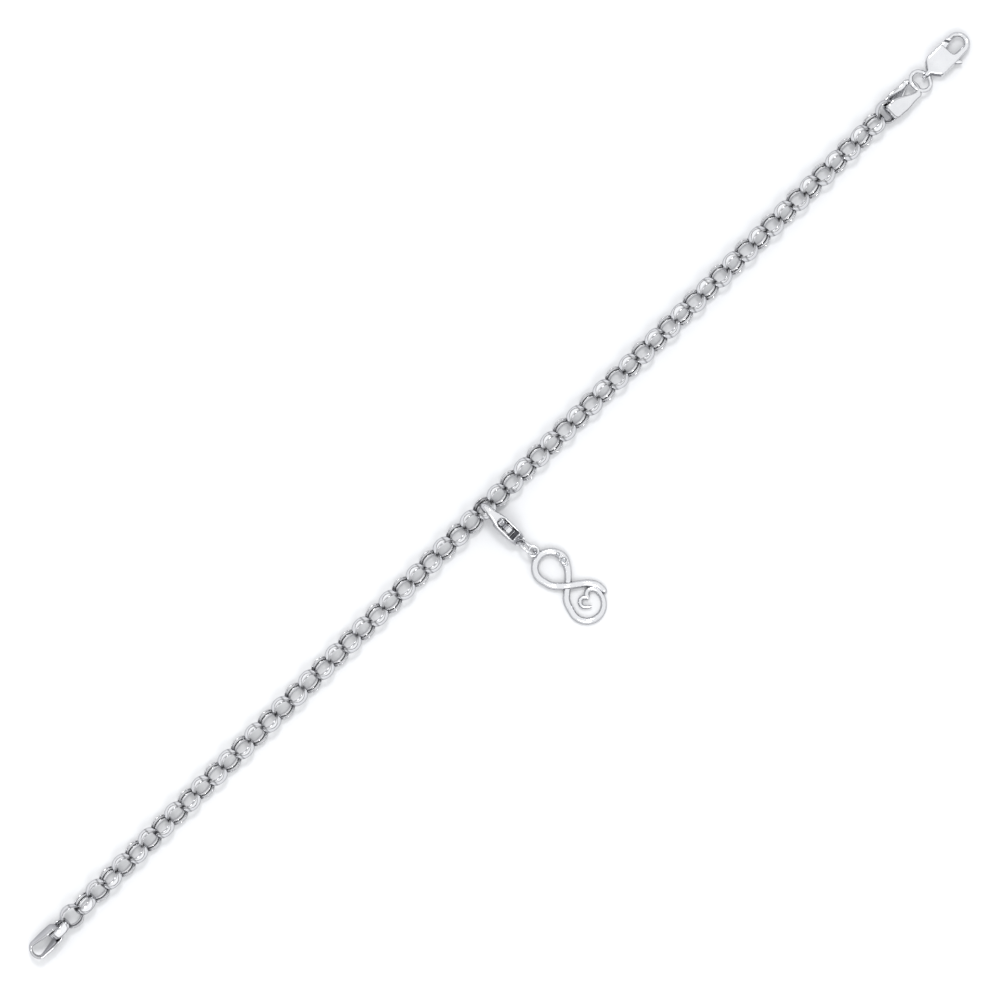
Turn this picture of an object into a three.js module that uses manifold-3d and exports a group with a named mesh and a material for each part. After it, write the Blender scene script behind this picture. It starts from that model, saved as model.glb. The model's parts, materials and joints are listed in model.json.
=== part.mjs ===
// A silver charm bracelet, undone and laid out straight, with one clip-on charm.
// Millimetres. +X runs along the chain from the end loop to the main clasp, the charm lies
// towards -Y, and +Z is up from the surface that everything rests on.
import * as THREE from "three";
import { mergeVertices } from "three/addons/utils/BufferGeometryUtils.js";
import Module from "manifold-3d";

const wasm = await Module();
wasm.setup();

// ---------------------------------------------------------------- driving dimensions
// Belcher chain: round links of a domed band, each a quarter turn from the next.
const LINK_COUNT = 64;
const LINK_PITCH = { loopSide: 2.69, claspSide: 2.663 };
const LINK_RADIUS = 1.75;
const LINK_WALL = 0.3;
const LINK_WIDTH = 1.15;
const SEAT_LINK = 32; // the link that carries the charm, counted from 0 at the end loop
const FIRST_TILT = -68;
const SEAT_TILT = -45;
const LAST_TILT = 30;
const CHAIN_HALF = 1.85; // half of the width that the tilted links take up
const CHAIN_STEP = 9;

// Tapered oval loops that finish the chain at both ends.
const LOOP = { length: 5.6, width: 2.9, wall: 0.4, wideEnd: 2.5, narrowEnd: 1.2 };
const LOOP_OVERLAP = 0.15; // how far a loop's wall reaches past the centre of its link
const END_LOOP_TILT = 22;
const TAB_TILT = -60;
const TAB_LENGTH = 6.25;

// Lobster clasp, drawn in its own frame: u from the eye to the tip, v towards the gate,
// w across the flat faces.
const CLASP_TIP = 9.05;
const CLASP_HALF = 1.78; // half of its width over the spine and the gate
const CLASP_THICK = 2.1;
const NECK_HALF = 0.29;
const NECK_END = 1.2;
const EYE = { u: 0.87, outer: 0.88, hole: 0.54 };
const MOUTH = { start: 5.5, end: 8.3, spine: -0.76, gate: 1.04 };
const PIVOT = { u: 4.4, v: 0.35, pin: 0.28, bore: 0.42 };
const HOOK_END = 2.25; // distance of the hook's end face from the pivot
const GATE_END = 2.05; // distance of the gate's end face from the pivot
const SLOT = { from: 2.3, to: 5.9, half: 0.75, roof: 1.35 };
const LEVER_THICK = 0.9;

// Rings.
const JUMP_RING = { radius: 1.62, wire: 0.27, lean: 15 };
const CHARM_LINK = { radius: 1.36, wire: 0.23, lean: 68, yaw: 7 };
const BAIL = { radius: 0.69, wire: 0.21 };

// Charm: an endless loop whose lower end curls into a heart. Its own frame has the crossing
// at the origin, x to the right and y towards the bail.
const STROKE = { wide: 0.95, inner: 0.88, thin: 0.58, high: 0.95 };
const TOP_LOOP = { x: 0.07, y: 3.7, radius: 2.3 };
const BOTTOM_LOOP = { x: 0.1, y: -3.88, radius: 2.5 };
const CROSSING_RISE = 0.35;
const CROSSING_REACH = 1.3;
const BAIL_Y = 7.22;
const STONES = [
  { name: "stone_upper", angle: 10, radius: 0.27 },
  { name: "stone_middle", angle: -13, radius: 0.38 },
  { name: "stone_lower", angle: -35, radius: 0.27 },
];
const STONE_GAP = 0.06;
const SETTING_RIM = 0.16;

// Where the pieces lie, from the seat link at X = 0 on the chain's axis. A ring or clasp after
// the tab is placed by its distance from the tab's end.
const JUMP_RING_AT = { pastTab: 0.52, y: 0.03, z: 1.53 };
const MAIN_CLASP_AT = { pastTab: 1.27, y: -0.2 };
const CHARM_CLASP_AT = { tipY: 0.76, tipZ: 3.375, slope: 15, yaw: 2 };
const CHARM_LINK_AT = { x: 0.27, y: -8.38, z: 1.55 };
const CHARM_AT = { x: 0.56, y: -16.62, z: 0.3, slope: 2.4 };
const RUN_GAP = 0.3; // between a run of chain and the real link beside it

// ---------------------------------------------------------------- materials
const SILVER = new THREE.MeshStandardMaterial({ color: 0xe6e8ea, roughness: 0.12, metalness: 1 });
const SATIN = new THREE.MeshStandardMaterial({ color: 0xd2d5d8, roughness: 0.3, metalness: 1 });
const STONE = new THREE.MeshStandardMaterial({ color: 0xf4f8ff, roughness: 0.02, metalness: 0 });

// ---------------------------------------------------------------- solids
const rad = THREE.MathUtils.degToRad;

function solid(geometry) {
  const bare = geometry.clone();
  bare.deleteAttribute("normal");
  bare.deleteAttribute("uv");
  const merged = mergeVertices(bare, 1e-4);
  return new wasm.Manifold(
    new wasm.Mesh({
      numProp: 3,
      vertProperties: merged.attributes.position.array,
      triVerts: new Uint32Array(merged.index.array),
    }),
  );
}

function geometryOf(manifold) {
  const { vertProperties, triVerts } = manifold.getMesh();
  const geometry = new THREE.BufferGeometry();
  geometry.setAttribute("position", new THREE.BufferAttribute(vertProperties, 3));
  geometry.setIndex(new THREE.BufferAttribute(triVerts, 1));
  geometry.computeVertexNormals();
  return geometry;
}

function piece(name, shape, material) {
  const geometry = shape.isBufferGeometry ? shape : geometryOf(shape);
  const mesh = new THREE.Mesh(geometry, material);
  mesh.name = name;
  return mesh;
}

// A flat outline made a plate of the given thickness, centred on its own plane.
function plate(shape, thick, curveSegments = 12) {
  const options = { depth: thick, bevelEnabled: false, curveSegments };
  return new THREE.ExtrudeGeometry(shape, options).translate(0, 0, -thick / 2);
}

// The same, with the outline's second axis turned up to w and the thickness along v.
function plateAcross(shape, from, to, curveSegments = 12) {
  return plate(shape, to - from, curveSegments)
    .rotateX(Math.PI / 2)
    .translate(0, (from + to) / 2, 0);
}

function box(u0, u1, v0, v1, thick) {
  return new THREE.BoxGeometry(u1 - u0, v1 - v0, thick).translate((u0 + u1) / 2, (v0 + v1) / 2, 0);
}

function ring({ radius, wire }, segments = 28) {
  return new THREE.TorusGeometry(radius, wire, 8, segments);
}

// Half-round section of a stroke. An extruded route turns a section's first axis downwards,
// so the domed side is on the negative one.
function sectionOf(half, high) {
  const section = new THREE.Shape();
  section.moveTo(0, half);
  section.lineTo(0, -half);
  section.lineTo(-high * 0.55, -half);
  section.lineTo(-high * 0.9, -half * 0.55);
  section.lineTo(-high, 0);
  section.lineTo(-high * 0.9, half * 0.55);
  section.lineTo(-high * 0.55, half);
  section.closePath();
  return section;
}

// ---------------------------------------------------------------- chain
function linkX(index) {
  const steps = index - SEAT_LINK;
  return steps * (steps < 0 ? LINK_PITCH.loopSide : LINK_PITCH.claspSide);
}

// A link and its neighbours are square to each other, and the steeper of them stands on the
// surface, which sets the height of the chain's axis there.
function axisHeight(tilt) {
  const lean = Math.abs(rad(tilt));
  const steep = Math.max(lean, Math.PI / 2 - lean);
  return LINK_RADIUS * Math.sin(steep) + (LINK_WIDTH / 2) * Math.cos(steep);
}

function linkGeometry() {
  const inside = LINK_RADIUS - LINK_WALL;
  const half = LINK_WIDTH / 2;
  const profile = [
    [inside, -half],
    [LINK_RADIUS - 0.12, -half],
    [LINK_RADIUS, -half * 0.4],
    [LINK_RADIUS, half * 0.4],
    [LINK_RADIUS - 0.12, half],
    [inside, half],
    [inside, -half],
  ].map(([r, w]) => new THREE.Vector2(r, w));
  return new THREE.LatheGeometry(profile, 28).rotateX(Math.PI / 2);
}

function realLink(name, index, tilt) {
  const mesh = piece(name, linkGeometry(), SILVER);
  mesh.position.set(linkX(index), 0, axisHeight(tilt));
  mesh.rotation.x = rad(tilt);
  return mesh;
}

// The run of links between two real ones, as one eight-sided bar of their outer form.
function chainRun(name, fromLink, toLink) {
  const from = linkX(fromLink) + LINK_RADIUS + RUN_GAP;
  const to = linkX(toLink) - LINK_RADIUS - RUN_GAP;
  const corner = CHAIN_HALF * Math.tan(Math.PI / 8);
  const section = new THREE.Shape();
  section.moveTo(CHAIN_HALF, -corner);
  for (let side = 1; side < 8; side++) {
    const angle = -Math.PI / 8 + (side * Math.PI) / 4;
    const reach = Math.hypot(CHAIN_HALF, corner);
    section.lineTo(reach * Math.cos(angle), reach * Math.sin(angle));
  }
  section.closePath();
  const height = CHAIN_HALF;
  const route = new THREE.LineCurve3(
    new THREE.Vector3(from, 0, height),
    new THREE.Vector3(to, 0, height),
  );
  const steps = Math.round((to - from) / CHAIN_STEP);
  const options = { steps, bevelEnabled: false, extrudePath: route };
  return piece(name, new THREE.ExtrudeGeometry(section, options), SATIN);
}

// ---------------------------------------------------------------- end loops
function ovalShape(length, width) {
  const radius = width / 2;
  const shape = new THREE.Shape();
  shape.absarc(length - radius, 0, radius, -Math.PI / 2, Math.PI / 2, false);
  shape.absarc(radius, 0, radius, Math.PI / 2, (3 * Math.PI) / 2, false);
  return shape;
}

// The band's outline seen from its side: full and round at the chain, hollowed to the far end.
function bandOutline(length) {
  const wide = LOOP.wideEnd / 2;
  const narrow = LOOP.narrowEnd / 2;
  const shape = new THREE.Shape();
  shape.moveTo(-0.1, -wide * 0.6);
  shape.quadraticCurveTo(0.2, -wide, 1.2, -wide);
  shape.bezierCurveTo(length * 0.5, -wide, length * 0.6, -narrow, length + 0.1, -narrow);
  shape.lineTo(length + 0.1, narrow);
  shape.bezierCurveTo(length * 0.6, narrow, length * 0.5, wide, 1.2, wide);
  shape.quadraticCurveTo(0.2, wide, -0.1, wide * 0.6);
  shape.closePath();
  return shape;
}

// One loop, its wide end at x = 0 and its hole's axis along z.
function bandLoop(length) {
  const { width, wall, wideEnd } = LOOP;
  const outer = solid(plate(ovalShape(length, width), wideEnd));
  const inner = solid(plate(ovalShape(length - 2 * wall, width - 2 * wall), wideEnd + 1));
  const band = solid(plateAcross(bandOutline(length), -width, width, 8));
  return outer.subtract(inner.translate([wall, 0, 0])).intersect(band);
}

function loopRest(tilt) {
  const lean = Math.abs(rad(tilt));
  return (LOOP.width / 2) * Math.sin(lean) + (LOOP.wideEnd / 2) * Math.cos(lean);
}

function endLoop() {
  const mesh = piece("end_loop", bandLoop(LOOP.length), SILVER);
  mesh.position.set(linkX(0) + LOOP_OVERLAP, 0, loopRest(END_LOOP_TILT));
  mesh.rotation.set(rad(END_LOOP_TILT), 0, Math.PI);
  return mesh;
}

function endTab() {
  const mesh = piece("end_tab", bandLoop(TAB_LENGTH), SILVER);
  mesh.position.set(linkX(LINK_COUNT - 1) - LOOP_OVERLAP, 0, loopRest(TAB_TILT));
  mesh.rotation.x = rad(TAB_TILT);
  return mesh;
}

// ---------------------------------------------------------------- lobster clasp
function pivotArc(shape, radius, fromV, toV) {
  const from = Math.asin((fromV - PIVOT.v) / radius);
  const to = Math.asin((toV - PIVOT.v) / radius);
  shape.absarc(PIVOT.u, PIVOT.v, radius, from, to, to < from);
}

function claspOutline() {
  const side = CLASP_HALF;
  const bowU = CLASP_TIP - side;
  const mouthMid = (MOUTH.gate + MOUTH.spine) / 2;
  const mouthRadius = (MOUTH.gate - MOUTH.spine) / 2;
  const shape = new THREE.Shape();
  shape.moveTo(0, -NECK_HALF);
  shape.lineTo(NECK_END, -NECK_HALF);
  shape.lineTo(2.1, -side + 0.3);
  shape.quadraticCurveTo(2.4, -side, 2.9, -side);
  shape.absarc(bowU, 0, side, -Math.PI / 2, Math.PI / 2, false);
  pivotArc(shape, HOOK_END, side, MOUTH.gate);
  shape.absarc(MOUTH.end - mouthRadius, mouthMid, mouthRadius, Math.PI / 2, -Math.PI / 2, true);
  shape.lineTo(MOUTH.start + 0.5, MOUTH.spine);
  shape.quadraticCurveTo(MOUTH.start, MOUTH.spine, MOUTH.start, MOUTH.spine + 0.5);
  shape.lineTo(MOUTH.start - 0.1, side);
  shape.lineTo(2.9, side);
  shape.quadraticCurveTo(2.4, side, 2.1, side - 0.3);
  shape.lineTo(NECK_END, NECK_HALF);
  shape.lineTo(0, NECK_HALF);
  return shape;
}

// Half thickness along the clasp: round at the eye, full over the lever, slim at the tip.
function claspSideOutline() {
  const half = CLASP_THICK / 2;
  const taper = [
    [CLASP_TIP - 3.35, half * 0.96],
    [CLASP_TIP - 2.25, half * 0.74],
    [CLASP_TIP - 1.05, half * 0.53],
    [CLASP_TIP + 0.1, half * 0.4],
  ];
  const shape = new THREE.Shape();
  shape.absarc(EYE.u, 0, EYE.outer, Math.PI / 2, (3 * Math.PI) / 2, false);
  shape.lineTo(2.4, -half);
  shape.lineTo(CLASP_TIP - 4.05, -half);
  taper.forEach(([u, w]) => shape.lineTo(u, -w));
  taper.reverse().forEach(([u, w]) => shape.lineTo(u, w));
  shape.lineTo(CLASP_TIP - 4.05, half);
  shape.lineTo(2.4, half);
  return shape;
}

function slotOutline() {
  const { from, to, half } = SLOT;
  const shape = new THREE.Shape();
  shape.moveTo(from, half);
  shape.lineTo(from, -half);
  shape.absarc(to - half, 0, half, -Math.PI / 2, Math.PI / 2, false);
  return shape;
}

function pin(radius, thick) {
  return new THREE.CylinderGeometry(radius, radius, thick, 16)
    .rotateX(Math.PI / 2)
    .translate(PIVOT.u, PIVOT.v, 0);
}

function claspBody() {
  const body = solid(plate(claspOutline(), CLASP_THICK + 1));
  const side = solid(plateAcross(claspSideOutline(), -3, 3));
  const slot = solid(plateAcross(slotOutline(), -3, SLOT.roof, 8));
  const gateway = solid(box(MOUTH.start - 1, MOUTH.start + 1, 0.9, 3, 2 * SLOT.half));
  const eye = solid(
    new THREE.CylinderGeometry(EYE.hole, EYE.hole, 4, 20).translate(EYE.u, 0, 0),
  );
  const open = gateway.subtract(solid(hookKeep()));
  return body
    .intersect(side)
    .subtract(slot)
    .subtract(open)
    .subtract(eye)
    .add(solid(pin(PIVOT.pin, CLASP_THICK - 0.1)));
}

// The hook's end, which the gateway between the cheeks must not cut into.
function hookKeep() {
  const shape = new THREE.Shape();
  shape.moveTo(CLASP_TIP - 0.55, 0.8);
  shape.lineTo(CLASP_TIP - 0.55, 4);
  pivotArc(shape, HOOK_END, 2.5, 0.8);
  return plate(shape, 4);
}

// Thumb tab, back of the gate, the gate's end about the pivot, and round the pivot.
function leverOutline() {
  const tab = [
    [0.55, -1.85],
    [1.25, -2.5],
    [1.4, -2.25],
    [1.1, -1.5],
    [0.85, -0.4],
    [0.75, 0.4],
    [1.1, 0.8],
  ];
  const shape = new THREE.Shape();
  shape.moveTo(PIVOT.u, -0.4);
  tab.forEach(([past, v]) => shape.lineTo(PIVOT.u + past, v));
  pivotArc(shape, GATE_END, 0.95, CLASP_HALF - 0.1);
  shape.lineTo(PIVOT.u + 0.6, CLASP_HALF - 0.1);
  shape.lineTo(PIVOT.u + 0.05, PIVOT.v + 0.72);
  shape.absarc(PIVOT.u, PIVOT.v, 0.72, Math.PI / 2, (3 * Math.PI) / 2, false);
  return shape;
}

function claspLever() {
  return solid(plate(leverOutline(), LEVER_THICK)).subtract(solid(pin(PIVOT.bore, 2)));
}

// Body and lever of one clasp, in a group that is placed as one.
function clasp(bodyName, leverName) {
  const group = new THREE.Group();
  group.add(piece(bodyName, claspBody(), SILVER));
  group.add(piece(leverName, claspLever(), SILVER));
  return group;
}

// ---------------------------------------------------------------- charm
function arcPoints({ x, y, radius }, fromDeg, toDeg, count) {
  return Array.from({ length: count }, (_, i) => {
    const angle = rad(fromDeg + ((toDeg - fromDeg) * i) / (count - 1));
    return [x + radius * Math.cos(angle), y + radius * Math.sin(angle)];
  });
}

// A stroke of the charm along hand-set points, raised where it crosses over the other.
function stroke(points, width, rise, steps) {
  const lifted = points.map(([x, y]) => {
    const near = Math.exp(-((x * x + y * y) / CROSSING_REACH ** 2));
    return new THREE.Vector3(x, y, rise * near);
  });
  const route = new THREE.CatmullRomCurve3(lifted, false, "centripetal");
  const section = sectionOf(width / 2, STROKE.high);
  return solid(new THREE.ExtrudeGeometry(section, { steps, extrudePath: route, bevelEnabled: false }));
}

function overStroke() {
  const fall = [
    [-1.7, 1.75],
    [-0.95, 0.85],
    [0, 0],
    [1.2, -0.83],
    [2.3, -1.65],
    [3.1, -2.6],
    [3.4, -3.6],
    [3.42, -4.6],
  ];
  const points = [...arcPoints(TOP_LOOP, 88, 200, 8), ...fall];
  return stroke(points, STROKE.wide, CROSSING_RISE, 44);
}

function underStroke() {
  const fall = [
    [1.7, 1.85],
    [0.62, 0.65],
    [-0.73, -0.45],
    [-1.7, -1.4],
  ];
  const lobe = [
    [2.42, -3.1],
    [2.0, -2.62],
    [1.52, -2.47],
    [1.05, -2.68],
    [0.78, -3.15],
  ];
  const top = arcPoints(TOP_LOOP, 92, -30, 8);
  const bottom = arcPoints(BOTTOM_LOOP, 160, 358, 12);
  return stroke([...top, ...fall, ...bottom, ...lobe], STROKE.inner, 0, 72);
}

function heartStroke() {
  const points = [
    [0.84, -3.22],
    [0.62, -2.9],
    [0.3, -2.68],
    [-0.1, -2.64],
    [-0.54, -2.96],
    [-0.66, -3.44],
    [-0.4, -3.92],
    [0.26, -4.5],
  ];
  return stroke(points, STROKE.thin, 0, 26);
}

function stoneSeat({ angle, radius }) {
  const [[x, y]] = arcPoints(TOP_LOOP, angle, angle, 2);
  return { x, y, radius };
}

function settingRing({ x, y, radius }) {
  const outer = radius + SETTING_RIM;
  return new THREE.CylinderGeometry(outer, outer, STROKE.high, 18)
    .rotateX(Math.PI / 2)
    .translate(x, y, STROKE.high / 2);
}

function settingWell({ x, y, radius }) {
  const hole = radius + STONE_GAP;
  return new THREE.CylinderGeometry(hole, hole, 1, 18)
    .rotateX(Math.PI / 2)
    .translate(x, y, STROKE.high);
}

function charmBody() {
  const bail = ring(BAIL, 20).translate(TOP_LOOP.x, BAIL_Y, STROKE.high / 2);
  const strokes = [overStroke(), underStroke(), heartStroke(), solid(bail)];
  const seats = STONES.map(stoneSeat);
  const settings = seats.map((seat) => solid(settingRing(seat)));
  const wells = seats.map((seat) => solid(settingWell(seat)));
  const whole = [...strokes, ...settings].reduce((sum, part) => sum.add(part));
  return wells.reduce((sum, well) => sum.subtract(well), whole);
}

// A round brilliant in outline: flat table, crown, girdle and pavilion.
function stoneMesh(stone) {
  const seat = stoneSeat(stone);
  const r = stone.radius;
  const profile = [
    [0, -0.8 * r],
    [r, 0],
    [r, 0.08 * r],
    [0.6 * r, 0.4 * r],
    [0, 0.4 * r],
  ].map(([x, y]) => new THREE.Vector2(x, y));
  const geometry = new THREE.LatheGeometry(profile, 16).rotateX(Math.PI / 2);
  const mesh = piece(stone.name, geometry, STONE);
  mesh.position.set(seat.x, seat.y, STROKE.high - 0.05);
  return mesh;
}

function charm() {
  const group = new THREE.Group();
  group.add(piece("pendant", charmBody(), SILVER));
  STONES.forEach((stone) => group.add(stoneMesh(stone)));
  return group;
}

// ---------------------------------------------------------------- assembly
function layAfterTab(laid) {
  const tabEnd = linkX(LINK_COUNT - 1) - LOOP_OVERLAP + TAB_LENGTH;
  const jumpRing = piece("jump_ring", ring(JUMP_RING), SILVER);
  jumpRing.position.set(tabEnd + JUMP_RING_AT.pastTab, JUMP_RING_AT.y, JUMP_RING_AT.z);
  jumpRing.rotation.y = rad(JUMP_RING.lean);
  const mainClasp = clasp("clasp_body", "clasp_lever");
  mainClasp.position.set(tabEnd + MAIN_CLASP_AT.pastTab, MAIN_CLASP_AT.y, CLASP_THICK / 2);
  laid.add(jumpRing, mainClasp);
}

// The charm's clasp stands on edge with its spine up, hooked over the seat link's raised side,
// and slopes down to the surface.
function charmClasp() {
  const slope = rad(CHARM_CLASP_AT.slope);
  const along = new THREE.Vector3(0, Math.cos(slope), Math.sin(slope));
  const gateward = new THREE.Vector3(0, along.z, -along.y);
  const across = new THREE.Vector3().crossVectors(along, gateward);
  const parts = clasp("charm_clasp_body", "charm_clasp_lever");
  parts.position.x = -CLASP_TIP;
  const stood = new THREE.Group();
  stood.quaternion.setFromRotationMatrix(new THREE.Matrix4().makeBasis(along, gateward, across));
  stood.add(parts);
  const hooked = new THREE.Group();
  hooked.position.set(0, CHARM_CLASP_AT.tipY, CHARM_CLASP_AT.tipZ);
  hooked.rotation.z = rad(CHARM_CLASP_AT.yaw);
  hooked.add(stood);
  return hooked;
}

function layCharm(laid) {
  const link = piece("charm_link", ring(CHARM_LINK), SILVER);
  link.position.set(CHARM_LINK_AT.x, CHARM_LINK_AT.y, CHARM_LINK_AT.z);
  link.rotation.set(0, rad(CHARM_LINK.lean), rad(CHARM_LINK.yaw), "ZYX");
  const pendant = charm();
  pendant.position.set(CHARM_AT.x, CHARM_AT.y, CHARM_AT.z);
  pendant.rotation.x = rad(CHARM_AT.slope);
  laid.add(charmClasp(), link, pendant);
}

const laid = new THREE.Group();

laid.add(endLoop());
laid.add(realLink("first_link", 0, FIRST_TILT));
laid.add(chainRun("chain_loop_side", 0, SEAT_LINK));
laid.add(realLink("seat_link", SEAT_LINK, SEAT_TILT));
laid.add(chainRun("chain_clasp_side", SEAT_LINK, LINK_COUNT - 1));
laid.add(realLink("last_link", LINK_COUNT - 1, LAST_TILT));
laid.add(endTab());

layAfterTab(laid);
layCharm(laid);

// The frame's origin is under the middle of the whole bracelet, on the surface.
laid.updateMatrixWorld(true);
const extent = new THREE.Box3().setFromObject(laid, true);
const middle = extent.getCenter(new THREE.Vector3());
laid.position.set(-middle.x, -middle.y, -extent.min.z);

const bracelet = new THREE.Group();
bracelet.add(laid);

export default bracelet;
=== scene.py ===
# %% [markdown]
# # A silver charm bracelet
# The bracelet lies undone on a pale table: a straight belcher chain with a tapered loop at each
# end, a lobster clasp on a jump ring, and a charm that clips on with a small lobster clasp of its
# own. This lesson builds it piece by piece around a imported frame. The frame says where everything
# is, so the pieces here only have to be shaped well and put there.

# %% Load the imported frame
import json
import math

import bmesh
import bpy
import numpy as np
from mathutils import Matrix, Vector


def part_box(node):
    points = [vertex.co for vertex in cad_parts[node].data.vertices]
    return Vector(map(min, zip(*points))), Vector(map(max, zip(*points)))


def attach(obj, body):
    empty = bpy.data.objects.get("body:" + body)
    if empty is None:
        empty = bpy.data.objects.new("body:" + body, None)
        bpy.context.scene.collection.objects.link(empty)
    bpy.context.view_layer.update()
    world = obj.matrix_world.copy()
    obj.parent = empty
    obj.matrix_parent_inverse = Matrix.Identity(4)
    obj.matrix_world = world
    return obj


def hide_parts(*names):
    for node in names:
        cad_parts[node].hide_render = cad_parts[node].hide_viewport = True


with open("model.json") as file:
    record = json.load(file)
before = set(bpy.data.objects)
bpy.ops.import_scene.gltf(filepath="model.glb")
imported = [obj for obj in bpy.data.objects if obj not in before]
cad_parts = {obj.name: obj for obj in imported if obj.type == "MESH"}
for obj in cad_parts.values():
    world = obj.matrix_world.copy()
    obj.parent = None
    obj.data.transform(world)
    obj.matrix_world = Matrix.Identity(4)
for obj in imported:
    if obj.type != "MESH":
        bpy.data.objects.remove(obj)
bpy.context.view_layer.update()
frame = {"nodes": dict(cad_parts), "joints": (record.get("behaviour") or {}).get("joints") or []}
MM = 0.001
print("frame nodes:", ", ".join(sorted(frame["nodes"])))

# %% [markdown]
# ## Where things are
# Small jewellery is easiest to think about in millimetres, and Blender works in metres, so every
# shape below is in millimetres and is scaled once, when it becomes a mesh. The frame gives each
# part's box and each lever's pivot, and the places of all the pieces follow from those.


# %% Places from the frame
def corners(node):
    """Lowest and highest corner of a frame node, in millimetres."""
    low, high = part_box(node)
    return np.array(low) / MM, np.array(high) / MM


def middle(node):
    low, high = corners(node)
    return (low + high) / 2


FIRST, SEAT, LAST = (middle(node) for node in ("first_link", "seat_link", "last_link"))
CHAIN_Y = SEAT[1]
print(f"links from X {FIRST[0]:.2f} to {LAST[0]:.2f} mm, the seat link at {SEAT[0]:.2f} mm")

# %% [markdown]
# ## The camera
# The camera looks almost straight down from arm's length through a long lens, with the chain
# running from the lower left corner to the upper right one. It leans back a few degrees towards
# the lower edge of the picture, which makes the near end of the chain a little larger.

# %% Camera
CHAIN_RISE = math.radians(44.72)  # how steeply the chain climbs across the picture
RIGHT = np.array([math.cos(CHAIN_RISE), -math.sin(CHAIN_RISE), 0.0])
UPWARD = np.array([math.sin(CHAIN_RISE), math.cos(CHAIN_RISE), 0.0])
LEAN = math.radians(4.6)
DISTANCE = 600.0
FRAME_WIDTH = 144.9  # what the picture spans at the bracelet
SENSOR = 36.0
AIM = np.array([-1.31, CHAIN_Y - 0.66, 1.7])


def view_matrix(place, right, back):
    """A camera's matrix: its columns are where right, up and back point, and its place."""
    columns = np.stack([right, np.cross(back, right), back, place], axis=1)
    return Matrix(np.vstack([columns, [0, 0, 0, 1]]).tolist())


back = math.cos(LEAN) * np.array([0, 0, 1.0]) - math.sin(LEAN) * UPWARD
camera = bpy.data.objects.new("camera", bpy.data.cameras.new("camera"))
camera.data.sensor_width = SENSOR
camera.data.lens = SENSOR * DISTANCE / FRAME_WIDTH
camera.data.clip_start = 0.01
camera.matrix_world = view_matrix((AIM + DISTANCE * back) * MM, RIGHT, back)
bpy.context.scene.collection.objects.link(camera)
bpy.context.scene.camera = camera
print(f"camera lens {camera.data.lens:.0f} mm")

# %% [markdown]
# ## From arrays to meshes
# A surface is a grid of points, rows by columns, worked out with numpy as whole arrays. Faces join
# neighbouring points, doubled points along seams and at poles are welded, and a grid whose faces
# would point inwards is turned round first. Every piece ends in `mesh_object`.


# %% Grids of points into one mesh
def grid_faces(rows, columns):
    """Four-sided faces between the neighbouring points of a grid, numbered row by row."""
    corner = np.arange(rows * columns).reshape(rows, columns)
    around = [corner[:-1, :-1], corner[1:, :-1], corner[1:, 1:], corner[:-1, 1:]]
    return np.stack(around, axis=-1).reshape(-1, 4)


def enclosed(points, faces):
    """Volume inside closed faces: a sixth of the triple product, summed over their triangles."""
    a, b, c, d = (points[faces[:, k]] for k in range(4))
    return (np.sum(a * np.cross(b, c)) + np.sum(a * np.cross(c, d))) / 6


def grid_parts(grid):
    """Points, outward faces and (around, across) coordinates in 0 to 1 of one grid."""
    rows, columns = grid.shape[:2]
    points = grid.reshape(-1, 3)
    faces = grid_faces(rows, columns)
    if enclosed(points, faces) < 0:
        faces = faces[:, ::-1]
    along, across = np.meshgrid(np.linspace(0, 1, rows), np.linspace(0, 1, columns), indexing="ij")
    return points, faces, np.stack([along.ravel(), across.ravel()], axis=-1)


# %% One object
WELD = 1e-8  # metres


def weld(mesh):
    work = bmesh.new()
    work.from_mesh(mesh)
    bmesh.ops.remove_doubles(work, verts=work.verts, dist=WELD)
    work.to_mesh(mesh)
    work.free()


def joined(parts):
    """Several (points, faces, uv) in one, with each part's faces counted on from the last."""
    starts = np.cumsum([0] + [len(points) for points, _, _ in parts[:-1]])
    points = np.concatenate([part[0] for part in parts])
    faces = np.concatenate([part[1] + start for part, start in zip(parts, starts)])
    return points, faces, np.concatenate([part[2] for part in parts])


def mesh_object(name, parts, material, smooth_angle=40):
    """An object from parts in millimetres, its faces smooth up to the given angle."""
    points, faces, uv = joined(parts)
    mesh = bpy.data.meshes.new(name)
    mesh.from_pydata(points * MM, [], faces)
    layer = mesh.uv_layers.new(name="surface")
    layer.data.foreach_set("uv", uv[faces.ravel()].astype(np.float32).ravel())
    weld(mesh)
    mesh.shade_smooth()
    mesh.set_sharp_from_angle(angle=math.radians(smooth_angle))
    mesh.materials.append(material)
    piece = bpy.data.objects.new(name, mesh)
    bpy.context.scene.collection.objects.link(piece)
    print(f"{name}: {len(mesh.vertices)} points, {len(mesh.polygons)} faces")
    return piece


# %% [markdown]
# ## A profile carried along a path
# Wire, bands and strokes are all a section moved along a path. At each point of the path the
# section stands square to it: its first axis points sideways and its second one up.


# %% Sweep
def unit(vectors):
    return vectors / np.linalg.norm(vectors, axis=-1, keepdims=True)


def directions(path):
    """The path's direction at each point: from the point before it to the one after it."""
    if np.allclose(path[0], path[-1]):
        ring = path[:-1]
        steps = np.roll(ring, -1, axis=0) - np.roll(ring, 1, axis=0)
        return unit(np.concatenate([steps, steps[:1]]))
    return unit(np.gradient(path, axis=0))


def sweep(path, section, up=(0, 0, 1)):
    """Point = path + side * sideways + rise * upright, for each (side, rise) of the section.
    The section is (points, 2), or (path points, points, 2) where it changes on the way."""
    along = directions(path)
    sideways = unit(np.cross(along, np.array(up, float)))
    upright = np.cross(sideways, along)
    side, rise = section[..., :1], section[..., 1:]
    return path[:, None] + side * sideways[:, None] + rise * upright[:, None]


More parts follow.
